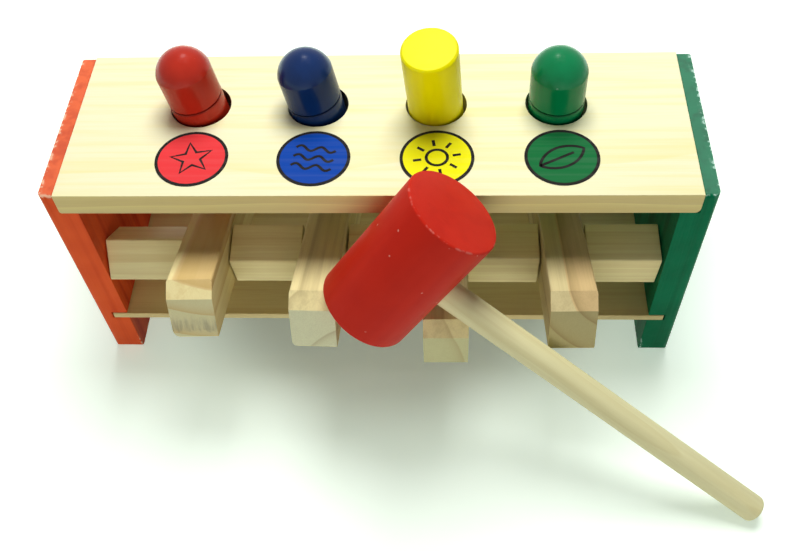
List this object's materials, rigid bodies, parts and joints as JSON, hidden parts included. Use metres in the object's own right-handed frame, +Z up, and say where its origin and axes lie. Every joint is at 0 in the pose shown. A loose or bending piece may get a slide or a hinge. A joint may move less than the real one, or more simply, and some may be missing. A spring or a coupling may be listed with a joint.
{
  "type": "toy workbench",
  "caption": "Wooden pounding bench with coloured end panels, pegs that stand on pivoting levers, spacer blocks on a rod, and a hammer with a round red head.",
  "frame": {"origin": "centre of the bench footprint on the table", "axes": "+X along the bench from the orange-red panel to the green one, +Y to the back, +Z up"},
  "size_m": [0.2506, 0.143, 0.1261],
  "materials": {
    "orange_red_paint": "satin paint, grain showing, edges worn",
    "dark_green_paint": "satin paint, grain showing, edges worn",
    "natural_wood": "sanded, unpainted",
    "lever_wood": "sanded, unpainted, strong rings",
    "dowel_wood": "sanded, unpainted",
    "red_paint": "satin paint, small chips",
    "blue_paint": "satin paint",
    "yellow_paint": "satin paint",
    "green_paint": "satin paint",
    "red_print": "satin print, black rim",
    "blue_print": "satin print, black rim",
    "yellow_print": "satin print, black rim",
    "green_print": "satin print, black rim"
  },
  "bodies": {
    "bench": {"left_end_panel": "orange_red_paint", "right_end_panel": "dark_green_paint", "top_board": "natural_wood", "bottom_shelf": "natural_wood", "pivot_rod": "dowel_wood", "disc_red": "red_print", "disc_blue": "blue_print", "disc_yellow": "yellow_print", "disc_green": "green_print"},
    "block_1": {"spacer_block_1": "lever_wood"},
    "block_2": {"spacer_block_2": "lever_wood"},
    "block_3": {"spacer_block_3": "lever_wood"},
    "block_4": {"spacer_block_4": "lever_wood"},
    "block_5": {"spacer_block_5": "lever_wood"},
    "lever_1_body": {"lever_1": "lever_wood"},
    "lever_2_body": {"lever_2": "lever_wood"},
    "lever_3_body": {"lever_3": "lever_wood"},
    "lever_4_body": {"lever_4": "lever_wood"},
    "peg_red_body": {"peg_red": "red_paint"},
    "peg_blue_body": {"peg_blue": "blue_paint"},
    "peg_yellow_body": {"peg_yellow": "yellow_paint"},
    "peg_green_body": {"peg_green": "green_paint"},
    "hammer": {"hammer_head": "red_paint", "hammer_handle": "dowel_wood"}
  },
  "joints": [
    {"name": "block_1_spin", "type": "hinge", "parent": "bench", "child": "block_1", "pos_m": [0, -0.0246, 0.051], "axis": [1, 0, 0], "continuous": true},
    {"name": "block_2_spin", "type": "hinge", "parent": "bench", "child": "block_2", "pos_m": [0, -0.0246, 0.051], "axis": [1, 0, 0], "continuous": true},
    {"name": "block_3_spin", "type": "hinge", "parent": "bench", "child": "block_3", "pos_m": [0, -0.0246, 0.051], "axis": [1, 0, 0], "continuous": true},
    {"name": "block_4_spin", "type": "hinge", "parent": "bench", "child": "block_4", "pos_m": [0, -0.0246, 0.051], "axis": [1, 0, 0], "continuous": true},
    {"name": "block_5_spin", "type": "hinge", "parent": "bench", "child": "block_5", "pos_m": [0, -0.0246, 0.051], "axis": [1, 0, 0], "continuous": true},
    {"name": "lever_1_pivot", "type": "hinge", "parent": "bench", "child": "lever_1_body", "pos_m": [0, -0.0246, 0.051], "axis": [1, 0, 0], "range_deg": [0, 47.2]},
    {"name": "lever_2_pivot", "type": "hinge", "parent": "bench", "child": "lever_2_body", "pos_m": [0, -0.0246, 0.051], "axis": [1, 0, 0], "range_deg": [0, 48.3]},
    {"name": "lever_3_pivot", "type": "hinge", "parent": "bench", "child": "lever_3_body", "pos_m": [0, -0.0246, 0.051], "axis": [1, 0, 0], "range_deg": [-3.8, 34]},
    {"name": "lever_4_pivot", "type": "hinge", "parent": "bench", "child": "lever_4_body", "pos_m": [0, -0.0246, 0.051], "axis": [1, 0, 0], "range_deg": [0, 49.9]},
    {"name": "peg_red_slide", "type": "slide", "parent": "bench", "child": "peg_red_body", "axis": [-0.1338, -0.007, 0.991], "range_m": [0, 0.0326]},
    {"name": "peg_blue_slide", "type": "slide", "parent": "bench", "child": "peg_blue_body", "axis": [-0.1526, 0.0107, 0.9882], "range_m": [0, 0.0355]},
    {"name": "peg_yellow_slide", "type": "slide", "parent": "bench", "child": "peg_yellow_body", "axis": [-0.0561, -0.146, 0.9877], "range_m": [-0.003, 0.025]},
    {"name": "peg_green_slide", "type": "slide", "parent": "bench", "child": "peg_green_body", "axis": [-0.014, -0.03, 0.9995], "range_m": [0, 0.0361]},
    {"name": "hammer_lift", "type": "slide", "parent": "bench", "child": "hammer", "axis": [0, -0.6, 0.8], "range_m": [0, 0.15]}
  ],
  "couplings": [
    {"joint": "peg_red_slide", "follows": "lever_1_pivot", "m_per_rad": 0.0389},
    {"joint": "peg_blue_slide", "follows": "lever_2_pivot", "m_per_rad": 0.0415},
    {"joint": "peg_yellow_slide", "follows": "lever_3_pivot", "m_per_rad": 0.0411},
    {"joint": "peg_green_slide", "follows": "lever_4_pivot", "m_per_rad": 0.0408}
  ]
}
